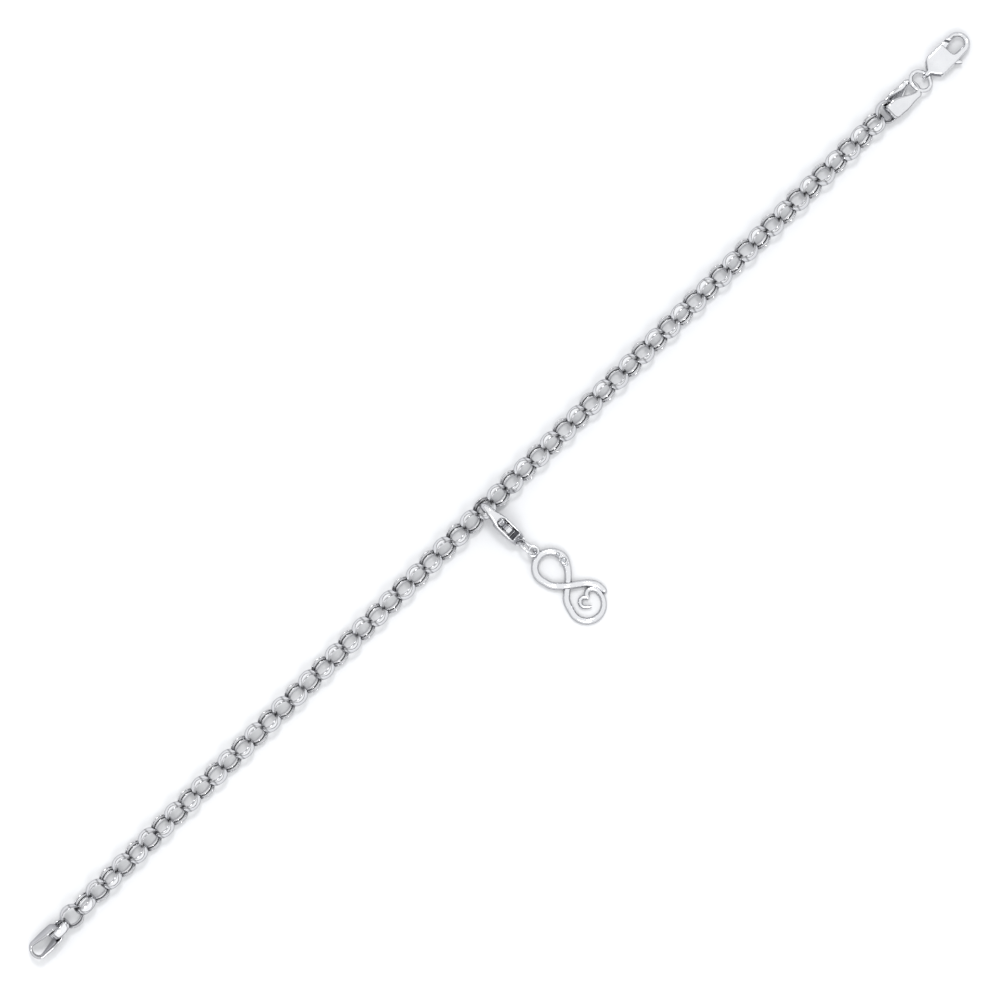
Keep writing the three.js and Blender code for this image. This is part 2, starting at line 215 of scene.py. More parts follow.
def capped(grid):
    """The grid with both end rings drawn together to their middle, so that it is closed."""
    first, last = (np.broadcast_to(grid[k].mean(0), grid[k].shape) for k in (0, -1))
    return np.concatenate([first[None], grid, last[None]])


# %% Circles, and turning a shape
def circle(radius, count, start=0.0):
    """Closed circle in the XY plane: (r cos a, r sin a, 0)."""
    angle = start + np.linspace(0, 2 * math.pi, count + 1)
    return np.stack([radius * np.cos(angle), radius * np.sin(angle), 0 * angle], axis=-1)


def turn(axis, degrees):
    """Rotation matrix about "X", "Y" or "Z"."""
    return np.array(Matrix.Rotation(math.radians(degrees), 3, axis))


def wire_ring(radius, wire, around=96, section_points=20):
    """Torus: a circle of the wire's radius carried round a circle."""
    section = circle(wire, section_points)[:, :2]
    return sweep(circle(radius, around), section)


# %% [markdown]
# ## Shader maths as sums
# A shader's maths is easier to read as a sum than as a web of boxes. `Value` wraps one socket, and
# the usual signs on it add Math nodes. `Finish.node` adds any other node: its settings first,
# because some of them change which sockets there are, and then its values and links.


# %% One value in a shader
class Value:
    def __init__(self, finish, socket):
        self.finish, self.socket = finish, socket

    def math(self, operation, *others):
        inputs = dict(enumerate((self, *others)))
        return self.finish.node("ShaderNodeMath", {"operation": operation}, inputs)

    def __add__(self, other):
        return self.math("ADD", other)

    __radd__ = __add__

    def __sub__(self, other):
        return self.math("SUBTRACT", other)

    def __rsub__(self, other):
        return self.finish.node("ShaderNodeMath", {"operation": "SUBTRACT"}, {0: other, 1: self})

    def __mul__(self, other):
        return self.math("MULTIPLY", other)


# %% One finish
class Finish:
    """The nodes of a material, or of the surroundings, and the shader that they feed."""

    def __init__(self, owner, shader="Principled BSDF"):
        owner.use_nodes = True
        self.tree = owner.node_tree
        self.shader = self.tree.nodes[shader]

    def put(self, socket, value):
        if isinstance(value, Value):
            self.tree.links.new(value.socket, socket)
        else:
            socket.default_value = value

    def node(self, kind, settings=None, inputs=None, output=0):
        made = self.tree.nodes.new(kind)
        for name, value in (settings or {}).items():
            setattr(made, name, value)
        for name, value in (inputs or {}).items():
            self.put(made.inputs[name], value)
        return Value(self, made.outputs[output])

    def set(self, **inputs):
        for name, value in inputs.items():
            self.put(self.shader.inputs[name.replace("_", " ")], value)


# %% Patterns that several finishes use
def noise(finish, scale, detail=3.0, stretch=(1, 1, 1)):
    """Soft random value from 0 to 1 over Object coordinates, finer as the scale grows."""
    place = finish.node("ShaderNodeTexCoord", output="Object")
    place = finish.node("ShaderNodeMapping", None, {"Vector": place, "Scale": stretch})
    inputs = {"Vector": place, "Scale": scale, "Detail": detail}
    return finish.node("ShaderNodeTexNoise", None, inputs, output="Fac")


def between(finish, value, low, high):
    """0 below low, 1 above high, and a smooth rise between them."""
    inputs = {"Value": value, "From Min": low, "From Max": high}
    return finish.node("ShaderNodeMapRange", {"interpolation_type": "SMOOTHSTEP"}, inputs)


def mix(finish, mask, colour, other):
    """One colour where the mask is 0 and the other where it is 1."""
    ends = [value if isinstance(value, Value) else (*value, 1) for value in (colour, other)]
    inputs = {"Factor": mask, 6: ends[0], 7: ends[1]}
    return finish.node("ShaderNodeMix", {"data_type": "RGBA"}, inputs, output=2)


def surface_uv(finish, axis):
    """U ("X") or V ("Y") of the piece's own UV map."""
    uv = finish.node("ShaderNodeUVMap", {"uv_map": "surface"})
    return finish.node("ShaderNodeSeparateXYZ", None, {"Vector": uv}, output=axis)


# %% [markdown]
# ## Polished silver
# New silver jewellery is plated with rhodium and buffed on a soft wheel. It is nearly a mirror, but
# never a perfect one: the wheel leaves fine streaks and the metal is very slightly wavy, which
# breaks up the reflections. So the finish is a metal of low roughness, with a noise that varies the
# roughness, a stretched noise for the buffing streaks, and a faint bump for the waves.

# %% Silver
SILVER_LIGHT = (0.64, 0.642, 0.655)
SILVER_SHADE = (0.56, 0.564, 0.58)
HOLLOW_DARK = (0.32, 0.32, 0.33)
GLANCE = (0.45, 0.45, 0.47, 1)  # the tint of the metal where it is seen at a glance
STREAK_SCALE, CLOUD_SCALE, WAVE_SCALE = 2600, 500, 900  # per metre
WAVE_DEPTH = 0.00002  # metres


def buffed(finish, roughness, wave):
    """Sets the roughness and normal of buffed metal, and gives back its colour."""
    streaks = noise(finish, STREAK_SCALE, detail=4, stretch=(1, 6, 1))
    cloud = noise(finish, CLOUD_SCALE, detail=2)
    finish.set(Roughness=roughness + streaks * 0.05 + between(finish, cloud, 0.55, 0.8) * 0.06)
    waves = noise(finish, WAVE_SCALE, detail=1) + streaks * 0.12
    inputs = {"Height": waves, "Strength": wave, "Distance": WAVE_DEPTH}
    finish.set(Normal=finish.node("ShaderNodeBump", None, inputs))
    finish.set(Metallic=1.0, Specular_Tint=GLANCE)
    return mix(finish, between(finish, cloud, 0.35, 0.75) * 0.5, SILVER_LIGHT, SILVER_SHADE)


def polished_silver():
    material = bpy.data.materials.new("polished_silver")
    finish = Finish(material)
    finish.set(Base_Color=buffed(finish, roughness=0.06, wave=0.35))
    return material


SILVER = polished_silver()
print("made", SILVER.name)

# %% [markdown]
# The clasps have a second finish: the same silver, darker inside a clasp's slot and eye, by a
# value that is kept in U of their UV map, 0 on the skin and 1 deep inside.


# %% Silver, darker in the hollows
def clasp_silver():
    material = bpy.data.materials.new("clasp_silver")
    finish = Finish(material)
    silver = buffed(finish, roughness=0.06, wave=0.3)
    finish.set(Base_Color=mix(finish, surface_uv(finish, "X"), silver, HOLLOW_DARK))
    return material


CLASP_SILVER = clasp_silver()
print("made", CLASP_SILVER.name)

# %% [markdown]
# ## The links' finish
# A belcher link like these is bent from a thin half-round tube and soldered shut, so there is a
# faint seam across its dome. The crown of the dome is painted lighter, a painted highlight, and its
# inner side is painted lighter too; the rims are painted grey, a painted shade. The slit along the
# inner side is painted black as painted shade, and where a link nests in its neighbours its inside
# and rims are darkened with painted shade. All of these follow the link, so this finish reads the
# link's own UV map: U runs round the link, V round its section.

# %% Chain silver
SEAM = 0.5  # where on the way round a link its seam is
SEAM_HALF, SEAM_SOFT = 0.007, 0.012
CROWN, CROWN_SOFT = (0.2, 0.36), 0.14  # stretches of the way round the section: the crown,
INNER, INNER_SOFT = (0.58, 0.97), 0.02  # the inner side,
SLIT, SLIT_SOFT = (0.735, 0.825), 0.015  # and the slit in the middle of it
# painted highlight: the colour of the crown of each dome
CROWN_PAINTED_HIGHLIGHT = (0.72, 0.722, 0.735)
# painted shade: the colour of the rims
RIM_PAINTED_SHADE = (0.26, 0.26, 0.27)
# painted light: the colour of the inner side
INNER_PAINTED_LIGHT = (0.8, 0.8, 0.81)
# painted shade in the slit, and the dark line of the seam, a dark joint
SLIT_SHADE_AND_SEAM_DARK = (0.06, 0.06, 0.065)
NEST = 0.336  # where on the way round a link it nests in a neighbour, and again half way on
NEST_SPREAD = (0.0, 0.65)  # cosines of twice the angle from there, where it starts and is full
# painted shade: the colour where a link nests in its neighbours
NEST_PAINTED_SHADE = (0.1, 0.1, 0.105)
CROWN_MIX, RIM_MIX, INNER_MIX, NEST_MIX = 0.8, 0.85, 0.7, 0.8  # how strongly each of them shows
SLIT_MIX, SEAM_MIX = 0.9, 0.5


def band_mask(finish, value, low, high, soft):
    """1 between low and high, falling to 0 over a soft edge on each side."""
    rise = between(finish, value, low - soft, low)
    return rise * (1 - between(finish, value, high, high + soft))


def chain_silver():
    material = bpy.data.materials.new("chain_silver")
    finish = Finish(material)
    around, across = surface_uv(finish, "X"), surface_uv(finish, "Y")
    colour = buffed(finish, roughness=0.07, wave=0.4)
    crown = band_mask(finish, across, *CROWN, CROWN_SOFT)
    # painted highlight: the crown of the dome is painted lighter
    colour = mix(finish, crown * CROWN_MIX, colour, CROWN_PAINTED_HIGHLIGHT)
    # painted shade: everything outside the crown, the rims above all, is painted grey
    colour = mix(finish, (1 - crown) * RIM_MIX, colour, RIM_PAINTED_SHADE)
    inner = band_mask(finish, across, *INNER, INNER_SOFT)
    # painted light: the inner side of the band is painted lighter
    colour = mix(finish, inner * INNER_MIX, colour, INNER_PAINTED_LIGHT)
    nest = ((around - NEST) * (4 * math.pi)).math("COSINE")
    nest = between(finish, nest, *NEST_SPREAD) * (1 - crown)
    # painted shade where a link nests in its neighbours, outside the crown
    colour = mix(finish, nest * NEST_MIX, colour, NEST_PAINTED_SHADE)
    seam = band_mask(finish, around, SEAM - SEAM_HALF, SEAM + SEAM_HALF, SEAM_SOFT)
    slit = band_mask(finish, across, *SLIT, SLIT_SOFT)
    dark = slit * SLIT_MIX + seam * SEAM_MIX
    # painted shade fills the slit; the seam is drawn as a faint dark joint
    finish.set(Base_Color=mix(finish, dark, colour, SLIT_SHADE_AND_SEAM_DARK))
    return material


CHAIN_SILVER = chain_silver()
print("made", CHAIN_SILVER.name)

# %% [markdown]
# ## One belcher link
# The section of a link's band is a flat dome outside and two flats with a slit between them inside.
# The link is that section carried round a circle. Every link in the chain is the same, so it is
# worked out once.

# %% The link's section and grid
LINK_OUTER = 1.75
LINK_INNER = 1.45
LINK_HALF = 0.68
EDGE_RADIUS = 1.55  # where the dome's edges are
SLIT_HALF = 0.1
SLIT_DEPTH = 0.2
BREAK = 0.03  # how far the inner edges are broken


def link_section(dome_points=15):
    """Closed (radius, across) outline. The dome is an ellipse: across = half * sin a and
    radius = edge + rise * cos a. The inside is two flats and the slit."""
    angle = np.linspace(-math.pi / 2, math.pi / 2, dome_points)
    rise = LINK_OUTER - EDGE_RADIUS
    dome = np.stack([EDGE_RADIUS + rise * np.cos(angle), LINK_HALF * np.sin(angle)], axis=-1)
    inside = np.array([
        (LINK_INNER + BREAK, LINK_HALF - BREAK / 2),
        (LINK_INNER, LINK_HALF - 2 * BREAK),
        (LINK_INNER, SLIT_HALF + 0.04),
        (LINK_INNER + BREAK, SLIT_HALF),
        (LINK_INNER + SLIT_DEPTH, SLIT_HALF * 0.8),
    ])
    return np.concatenate([dome, inside, inside[::-1] * (1, -1), dome[:1]])


def revolve(section, around):
    """Point = (r cos a, r sin a, w) for each (r, w) of the section and each angle a."""
    angle = np.linspace(0, 2 * math.pi, around + 1)[:, None]
    radius, across = section[:, 0], section[:, 1]
    return np.stack([radius * np.cos(angle), radius * np.sin(angle), across + 0 * angle], axis=-1)


LINK = revolve(link_section(), around=56)
print(f"a link has {LINK.shape[0] - 1} x {LINK.shape[1] - 1} faces")

# %% [markdown]
# ## The chain
# Neighbouring links are square to each other and both lean about 45 degrees from the table. The
# chain is drawn tight at its middle and a little slack at its ends, so the distance from link to
# link isn't the same everywhere. It is also twisted a little: towards the free end it turns so that
# its first link nearly stands, and towards the clasp it turns the other way and back. The steeper
# link of each pair stands on the table, which sets the height of the chain there.

# %% Where every link is
LINK_COUNT = 64
SEAT_INDEX = 32
PITCH_AT = (0, 4, 12, 20, 28, 36, 44, 52, 59)
PITCH = (2.57, 2.6, 2.7, 2.716, 2.755, 2.715, 2.66, 2.67, 2.63)


def link_places():
    """X of every link: the pitches added up, then fitted to the first, seat and last links."""
    steps = np.interp(np.arange(LINK_COUNT - 1) + 0.5, PITCH_AT, PITCH)
    run = np.concatenate([[0], np.cumsum(steps)])
    known = run[[0, SEAT_INDEX, LINK_COUNT - 1]]
    return np.interp(run, known, (FIRST[0], SEAT[0], LAST[0]))


LINK_X = link_places()
print(f"pitch from {np.diff(LINK_X).min():.2f} to {np.diff(LINK_X).max():.2f} mm")

# %% Tilt and height of every link
TWIST_AT = (0, 3, 8, 30, 40, 50, 61, 63)
TWIST = (23, 3, -2, -3, -6, -8, -7, 15)


def link_tilts():
    """Degrees that each link's plane is turned about the chain: -(45 + t) or 45 - t."""
    index = np.arange(LINK_COUNT)
    twist = np.interp(index, TWIST_AT, TWIST)
    return np.where(index % 2 == 0, -(45 + twist), 45 - twist)


def axis_heights(tilts):
    """Height of the chain's axis where the steeper of a pair stands on the table."""
    lean = np.radians(np.abs(tilts))
    steep = np.maximum(lean, math.pi / 2 - lean)
    return LINK_OUTER * np.sin(steep) + LINK_HALF * np.cos(steep)


TILTS = link_tilts()
HEIGHTS = axis_heights(TILTS)
print(f"axis height from {HEIGHTS.min():.2f} to {HEIGHTS.max():.2f} mm")

# %% Laying the links
SEAM_TURN = {0: -124, 1: 62}  # degrees round an even and an odd link where its seam shows
SEAM_SPREAD, WOBBLE_SPREAD = 7, 1.2  # degrees
random = np.random.default_rng(7)
SEAM_SHIFT = random.normal(0, SEAM_SPREAD, LINK_COUNT)
WOBBLE = random.normal(0, WOBBLE_SPREAD, (LINK_COUNT, 2))


def laid_link(index):
    """The link turned so that its seam is in place, leaned, and moved along the chain."""
    seam = SEAM_TURN[index % 2] + SEAM_SHIFT[index] - 360 * SEAM
    lean = turn("X", TILTS[index] + WOBBLE[index, 0]) @ turn("Y", WOBBLE[index, 1])
    place = (LINK_X[index], CHAIN_Y, HEIGHTS[index])
    return LINK @ (lean @ turn("Z", seam)).T + place


def link_piece(name, indices, node):
    """The links of one stretch as one piece, which stands for one frame node."""
    piece = mesh_object(name, [grid_parts(laid_link(i)) for i in indices], CHAIN_SILVER)
    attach(piece, "bracelet")
    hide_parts(node)


link_piece("belcher_first_link", [0], "first_link")
link_piece("belcher_links_loop_side", range(1, SEAT_INDEX), "chain_loop_side")
link_piece("belcher_seat_link", [SEAT_INDEX], "seat_link")
link_piece("belcher_links_clasp_side", range(SEAT_INDEX + 1, LINK_COUNT - 1), "chain_clasp_side")
link_piece("belcher_last_link", [LINK_COUNT - 1], "last_link")

# %% [markdown]
# ## The tapered end loops
# Each end of the chain is finished with a long oval loop, pressed from flat band: wide at the
# chain, so that it looks full beside the links, and narrow where the ring or the clasp goes. On one
# long side the band's lower edge is straight and its upper edge dips, on the other side it is the
# other way round, so that the narrow end runs across at a slant. It is one section, a flat strip
# with soft edges, carried round an oval, and only its height and its middle change.

# %% The loop's path and band
LOOP_WIDTH = 2.5
LOOP_WALL = 0.5
LOOP_WIDE = 1.38  # half the band's height at the chain
LOOP_NARROW = 0.55
DIP = (1.8, 5.1)  # where along the loop the dipping edge starts and stops to fall
SHOULDER, SHOULDER_START = 0.9, 0.62  # the rounded end's length, and its height's share at first
LOOP_TILT, TAB_TILT, TAB_ASIDE = 22, -60, -0.2
ABOVE_TABLE = 0.01


def oval_path(length, count=36):
    """Closed oval at the middle of the wall: two half circles joined by straight runs."""
    radius = (LOOP_WIDTH - LOOP_WALL) / 2
    centre = LOOP_WIDTH / 2
    angle = np.linspace(-math.pi / 2, math.pi / 2, count)
    far = np.stack([length - centre + radius * np.cos(angle), radius * np.sin(angle)], axis=-1)
    near = np.stack([centre - radius * np.cos(angle), -radius * np.sin(angle)], axis=-1)
    run = np.linspace(0, 1, count)[1:-1, None]
    there = far[-1] + (near[0] - far[-1]) * run
    again = near[-1] + (far[0] - near[-1]) * run
    flat = np.concatenate([far, there, near, again, far[:1]])
    return np.column_stack([flat, np.zeros(len(flat))])


def band_half(x):
    """Half height of the band: rounded at the chain by a quarter circle, full, then falling by a
    cosine to the narrow end."""
    fall = np.clip((x - DIP[0]) / (DIP[1] - DIP[0]), 0, 1)
    dip = (LOOP_WIDE - LOOP_NARROW) * (1 - np.cos(math.pi * fall)) / 2
    round_end = np.sqrt(1 - (1 - np.clip(x / SHOULDER, 0, 1)) ** 2)
    return (LOOP_WIDE - dip) * (SHOULDER_START + (1 - SHOULDER_START) * round_end)


# %% The loops' finish
CUT_EDGES = ((0.13, 0.37), (0.63, 0.87))  # stretches of the way round the strip's section
CUT_GREY = (0.36, 0.36, 0.37)


def band_silver():
    """Polished silver, darker along the band's cut edges."""
    material = bpy.data.materials.new("band_silver")
    finish = Finish(material)
    silver = buffed(finish, roughness=0.06, wave=0.35)
    across = surface_uv(finish, "Y")
    edge = sum(band_mask(finish, across, *stretch, 0.03) for stretch in CUT_EDGES)
    finish.set(Base_Color=mix(finish, edge * 0.7, silver, CUT_GREY))
    return material


BAND_SILVER = band_silver()
print("made", BAND_SILVER.name)


# %% Strip section and loops
def soft_strip(half_wall, half_height, soft=0.11, crown=0.05):
    """Closed outline of a strip on its edge, its corners rounded and its faces slightly domed."""
    angle = np.linspace(0, 2 * math.pi, 49)
    power = 0.35  # a low power of cosine and sine squares the circle off
    side = np.sign(np.cos(angle)) * np.abs(np.cos(angle)) ** power
    rise = np.sign(np.sin(angle)) * np.abs(np.sin(angle)) ** power
    bulge = 1 - crown * rise**2 / half_wall
    limit = half_height - soft * np.abs(side) ** 3
    return np.stack([np.broadcast_to(side * half_wall * bulge, limit.shape), rise * limit], axis=-1)


def band_loop(length):
    """The strip carried round the oval. Its middle is below the path on one long side and above it
    on the other by what the dipping edge has lost, and passes over at the narrow end."""
    path = oval_path(length)
    half = band_half(path[:, 0])
    lost = np.interp(path[:, 0], DIP, (0, 1)) * (LOOP_WIDE - LOOP_NARROW)
    shift = path[:, 1] / path[:, 1].max() * lost
    grid = sweep(path, soft_strip(LOOP_WALL / 2, half[:, None]))
    return grid + shift[:, None, None] * np.array([0, 0, 1])


def loop_piece(name, node, tilt, towards_end, aside=0.0):
    low, high = corners(node)
    grid = band_loop(high[0] - low[0])
    flip = turn("Z", 180) if towards_end else np.eye(3)
    start = high[0] if towards_end else low[0]
    lean = math.radians(abs(tilt))
    height = LOOP_WIDTH / 2 * math.sin(lean) + LOOP_WIDE * math.cos(lean)
    place = (start, middle(node)[1] + aside, height + ABOVE_TABLE)
    piece = mesh_object(name, [grid_parts(grid @ (turn("X", tilt) @ flip).T + place)], BAND_SILVER)
    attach(piece, "bracelet")
    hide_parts(node)


loop_piece("tapered_end_loop", "end_loop", LOOP_TILT, towards_end=True)
loop_piece("tapered_end_tab", "end_tab", TAB_TILT, towards_end=False, aside=TAB_ASIDE)

# %% [markdown]
# ## Rings
# The jump ring that holds the clasp and the link that holds the charm are plain round wire,
# soldered shut. A torus is a circle carried round a circle.

# %% Jump ring and charm link
JUMP_RADIUS, JUMP_WIRE = 1.6, 0.3
JUMP_ASIDE = (0.15, -0.3, 0)
CHARM_LINK_RADIUS, CHARM_LINK_WIRE = 1.36, 0.24
CHARM_LINK_ASIDE = (0.1, 0, 0)


def ring_piece(name, node, radius, wire, turned, aside):
    grid = wire_ring(radius, wire) @ turned.T + middle(node) + aside
    piece = mesh_object(name, [grid_parts(grid)], SILVER)
    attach(piece, "bracelet")
    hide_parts(node)


jump_lean = turn("Y", 27)
link_lean = turn("Z", 7) @ turn("Y", 68)
ring_piece("jump_ring_wire", "jump_ring", JUMP_RADIUS, JUMP_WIRE, jump_lean, JUMP_ASIDE)
ring_piece(
    "charm_link_wire", "charm_link", CHARM_LINK_RADIUS, CHARM_LINK_WIRE, link_lean, CHARM_LINK_ASIDE
)

# %% [markdown]
# ## A solid as a formula
# The lobster clasps are cast and then tumbled, so every edge of them is softened, inside the slot as
# well as outside. Surfaces laid side by side would leave hard joins there. A distance formula
# doesn't: it gives, for any point, how far it is from the metal, less than zero inside it. Two
# shapes meet by taking the larger or the smaller distance, and a little rounding there is a
# polished edge. The skin is then found on a fine lattice: each cell that the surface passes through
# gets one point, which slides along the formula's slope until its distance is zero.


# %% The skin of a distance formula
def settle(distance, points, step):
    """Newton's method: each point moves against the slope by its distance over the slope."""
    reach = step * 0.1
    for _ in range(4):
        value = distance(*points.T)
        slope = [distance(*(points + d).T) - distance(*(points - d).T) for d in reach * np.eye(3)]
        slope = np.stack(slope, axis=-1) / (2 * reach)
        steepness = np.maximum(np.sum(slope**2, axis=-1), 0.25)
        points = points - (np.clip(value, -step, step) / steepness)[:, None] * slope
    return points


def lattice_faces(solid, number):
    """A face round each lattice edge that crosses the surface, joining its four cells."""
    faces = []
    for order in ((0, 1, 2), (1, 2, 0), (2, 0, 1)):
        inside, cell = solid.transpose(order), number.transpose(order)
        leaves = inside[:-1, 1:-1, 1:-1] & ~inside[1:, 1:-1, 1:-1]
        enters = ~inside[:-1, 1:-1, 1:-1] & inside[1:, 1:-1, 1:-1]
        around = [cell[:, :-1, :-1], cell[:, 1:, :-1], cell[:, 1:, 1:], cell[:, :-1, 1:]]
        quads = np.stack(around, axis=-1)
        faces += [quads[leaves], quads[enters][:, ::-1]]
    return np.concatenate(faces)


def skin(distance, low, high, step):
    """Points and faces where the distance is zero, in a box from low to high."""
    lines = [np.arange(a, b + step, step) for a, b in zip(low, high)]
    solid = distance(*np.ix_(*lines)) < 0
    count = sum(
        solid[i : i - 1 or None, j : j - 1 or None, k : k - 1 or None].astype(int)
        for i in (0, 1) for j in (0, 1) for k in (0, 1)
    )
    crossed = (count > 0) & (count < 8)
    number = np.full(crossed.shape, -1)
    number[crossed] = np.arange(crossed.sum())
    points = np.array(low) + (np.argwhere(crossed) + 0.5) * step
    points = settle(distance, points, step)
    return points, lattice_faces(solid, number), np.zeros((len(points), 2))


# %% Softened corners, and the distance to an outline
def soft_max(a, b, soft):
    """The larger of two distances, which keeps what is in both, with its corner rounded off."""
    near = np.maximum(soft - np.abs(a - b), 0) / soft
    return np.maximum(a, b) + near**2 * soft / 4


def outline_distance(outline, x, y):
    """Distance to a closed outline, less than zero inside it: to the nearest of its edges, with
    the sign from how many edges lie to the right of the point."""
    x, y = (np.asarray(c)[..., None] for c in np.broadcast_arrays(x, y))
    ax, ay = outline.T
    ex, ey = (np.roll(outline, -1, axis=0) - outline).T
    share = np.clip(((x - ax) * ex + (y - ay) * ey) / (ex**2 + ey**2), 0, 1)
    gap = np.hypot(x - ax - share * ex, y - ay - share * ey).min(axis=-1)
    straddles = (ay > y) != (ay + ey > y)
    flat = np.where(ey == 0, 1, ey)
    right = straddles & (x < ax + (y - ay) * ex / flat)
    return np.where(right.sum(axis=-1) % 2 == 1, -gap, gap)


# %% [markdown]
# ## The lobster clasp's body
# Seen from above it is a pear-shaped pad with a hook round a mouth. Its own axes are u from the eye
# to the tip, v towards the gate and w across the flat faces. The outline is drawn with arcs and a
# few corners, thickened by a taper that slims towards the tip, and chamfered all round. A slot for
# the lever is cut in from the spine, a gateway from the mouth, and the eye across the neck.

# %% Its sizes
TIP = 9.05
BODY_HALF = 1.78
NECK_HALF, NECK_END = 0.29, 1.2
FLARE, FLARE_STEP = (2.1, 2.4, 2.9), 0.3  # along u, where the neck has widened to the full width
EYE_AT, EYE_OUTER, EYE_HOLE = 0.87, 0.88, 0.54
MOUTH_START, MOUTH_END = 5.5, 8.3
MOUTH_SPINE, MOUTH_GATE = -0.76, 1.04
PIVOT = np.array([4.4, 0.35])
PIN_RADIUS, PIN_HALF = 0.28, 0.9
HOOK_END = 2.25
GATE_END = 2.05
SLOT_FROM, SLOT_TO, SLOT_HALF, SLOT_ROOF = 2.3, 5.9, 0.75, 1.35
GATEWAY_HALF, GATEWAY_FROM = 1.0, 0.9


def arc(centre, radius, start, end, count=14):
    """Points on an arc from one angle to another, in degrees."""
    angle = np.radians(np.linspace(start, end, count))
    return np.stack([centre[0] + radius * np.cos(angle), centre[1] + radius * np.sin(angle)], axis=-1)


def pivot_arc(radius, from_v, to_v, count=8):
    """An arc about the pivot between two heights."""
    start, end = (math.degrees(math.asin((v - PIVOT[1]) / radius)) for v in (from_v, to_v))
    return arc(PIVOT, radius, start, end, count)


def bend(start, corner, end, count=8):
    """Quadratic curve from start to end, drawn towards a corner."""
    t = np.linspace(0, 1, count)[:, None]
    start, corner, end = (np.array(p, float) for p in (start, corner, end))
    return (1 - t) ** 2 * start + 2 * t * (1 - t) * corner + t**2 * end


# %% Its outline and taper
def body_outline():
    """Neck, spine, bow of the hook, hook end, mouth, gate side, and back to the neck."""
    half = BODY_HALF
    mouth_radius = (MOUTH_GATE - MOUTH_SPINE) / 2
    mouth_middle = (MOUTH_END - mouth_radius, (MOUTH_GATE + MOUTH_SPINE) / 2)
    return np.concatenate([
        [(0, -NECK_HALF), (NECK_END, -NECK_HALF)],
        bend((FLARE[0], -half + FLARE_STEP), (FLARE[1], -half), (FLARE[2], -half)),
        arc((TIP - half, 0), half, -90, 90, 40),
        pivot_arc(HOOK_END, half, MOUTH_GATE),
        arc(mouth_middle, mouth_radius, 90, -90, 24),
        bend((MOUTH_START + 0.5, MOUTH_SPINE), (MOUTH_START, MOUTH_SPINE), (MOUTH_START, -0.26)),
        [(MOUTH_START - 0.1, half)],
        bend((FLARE[2], half), (FLARE[1], half), (FLARE[0], half - FLARE_STEP)),
        [(NECK_END, NECK_HALF), (0, NECK_HALF)],
    ])


TAPER_U = (0.0, 0.9, 1.4, 2.4, 5.0, 5.7, 6.8, 8.0, 9.15)
TAPER = (0.0, 0.88, 0.92, 1.05, 1.05, 1.0, 0.78, 0.56, 0.42)
CHAMFER_U = (1.5, 2.4, 5.5, 6.5, 8.5)
CHAMFER = (0.06, 0.2, 0.2, 0.3, 0.34)


def smooth_table(u, at, values):
    """A table read with its corners rounded, as the mean of five readings close together."""
    return sum(np.interp(u + shift, at, values) for shift in (-0.3, -0.15, 0, 0.15, 0.3)) / 5


# %% Its distance formula
EDGE = 0.1  # how widely the edges are rounded
OUTLINE = body_outline()


def slot_distance(u, v, w):
    """A slot from the spine side with a round front end, closed by the roof at the gate side."""
    half = SLOT_HALF
    along = np.maximum(u - (SLOT_TO - half), 0)
    round_end = np.hypot(along, w) - half
    return soft_max(soft_max(round_end, SLOT_FROM - u, EDGE), v - SLOT_ROOF, EDGE)


def gateway_distance(u, v, w):
    """The way that the gate swings through, up to the hook's end face."""
    box = np.maximum(np.abs(w) - SLOT_HALF, np.abs(u - MOUTH_START) - GATEWAY_HALF)
    hook = np.hypot(u - PIVOT[0], v - PIVOT[1]) - HOOK_END
    return np.maximum(np.maximum(box, GATEWAY_FROM - v), hook)


def faces_distance(u, w):
    return np.abs(w) - smooth_table(u, TAPER_U, TAPER)


def body_distance(u, v, w):
    """The clasp's body: outline and taper and chamfer together, less slot, gateway and eye."""
    flat = outline_distance(OUTLINE, u, v)
    face = faces_distance(u, w)
    chamfer = (flat + face + smooth_table(u, CHAMFER_U, CHAMFER)) / math.sqrt(2)
    metal = soft_max(soft_max(flat, face, EDGE), chamfer, EDGE)
    round_neck = np.where(u < EYE_AT, np.hypot(u - EYE_AT, w) - EYE_OUTER, -1)
    metal = soft_max(metal, round_neck, EDGE)
    metal = soft_max(metal, -slot_distance(u, v, w), EDGE)
    metal = soft_max(metal, -gateway_distance(u, v, w), EDGE)
    metal = soft_max(metal, EYE_HOLE - np.hypot(u - EYE_AT, w), EDGE)
    pin = np.hypot(u - PIVOT[0], v - PIVOT[1]) - PIN_RADIUS
    return np.minimum(metal, np.maximum(pin, np.abs(w) - PIN_HALF))


# %% The body's skin
CELL = 0.06
BODY_BOX = ((-0.3, -2.0, -1.3), (TIP + 0.35, 2.0, 1.3))  # what the lattice spans
DARKEN_FROM, DARKEN_TO = 0.12, 0.4  # depths between which the metal turns darker


def hollow_uv(points):
    """U is 0 on the skin and 1 deep under the outline and the faces, in the slot and the eye."""
    u, v, w = points.T
    depth = -np.maximum(outline_distance(OUTLINE, u, v), faces_distance(u, w))
    darkening = np.clip((depth - DARKEN_FROM) / (DARKEN_TO - DARKEN_FROM), 0, 1)
    return np.column_stack([darkening, 0 * darkening])


def clasp_body():
    points, faces, _ = skin(body_distance, *BODY_BOX, CELL)
    return points, faces, hollow_uv(points)


BODY = clasp_body()
print(f"clasp body skin: {len(BODY[1])} faces")

# %% [markdown]
# ## The lever
# The lever is a small flat plate on the pivot: its upper end is the gate that closes the mouth, and
# its thumb tab stands out of the spine. The same formula way makes it.


# %% Lever
LEVER_HALF = 0.45
BORE = 0.42
HUB = 0.72
LEVER_BOX = ((3.0, -2.8, -0.7), (6.8, 2.1, 0.7))


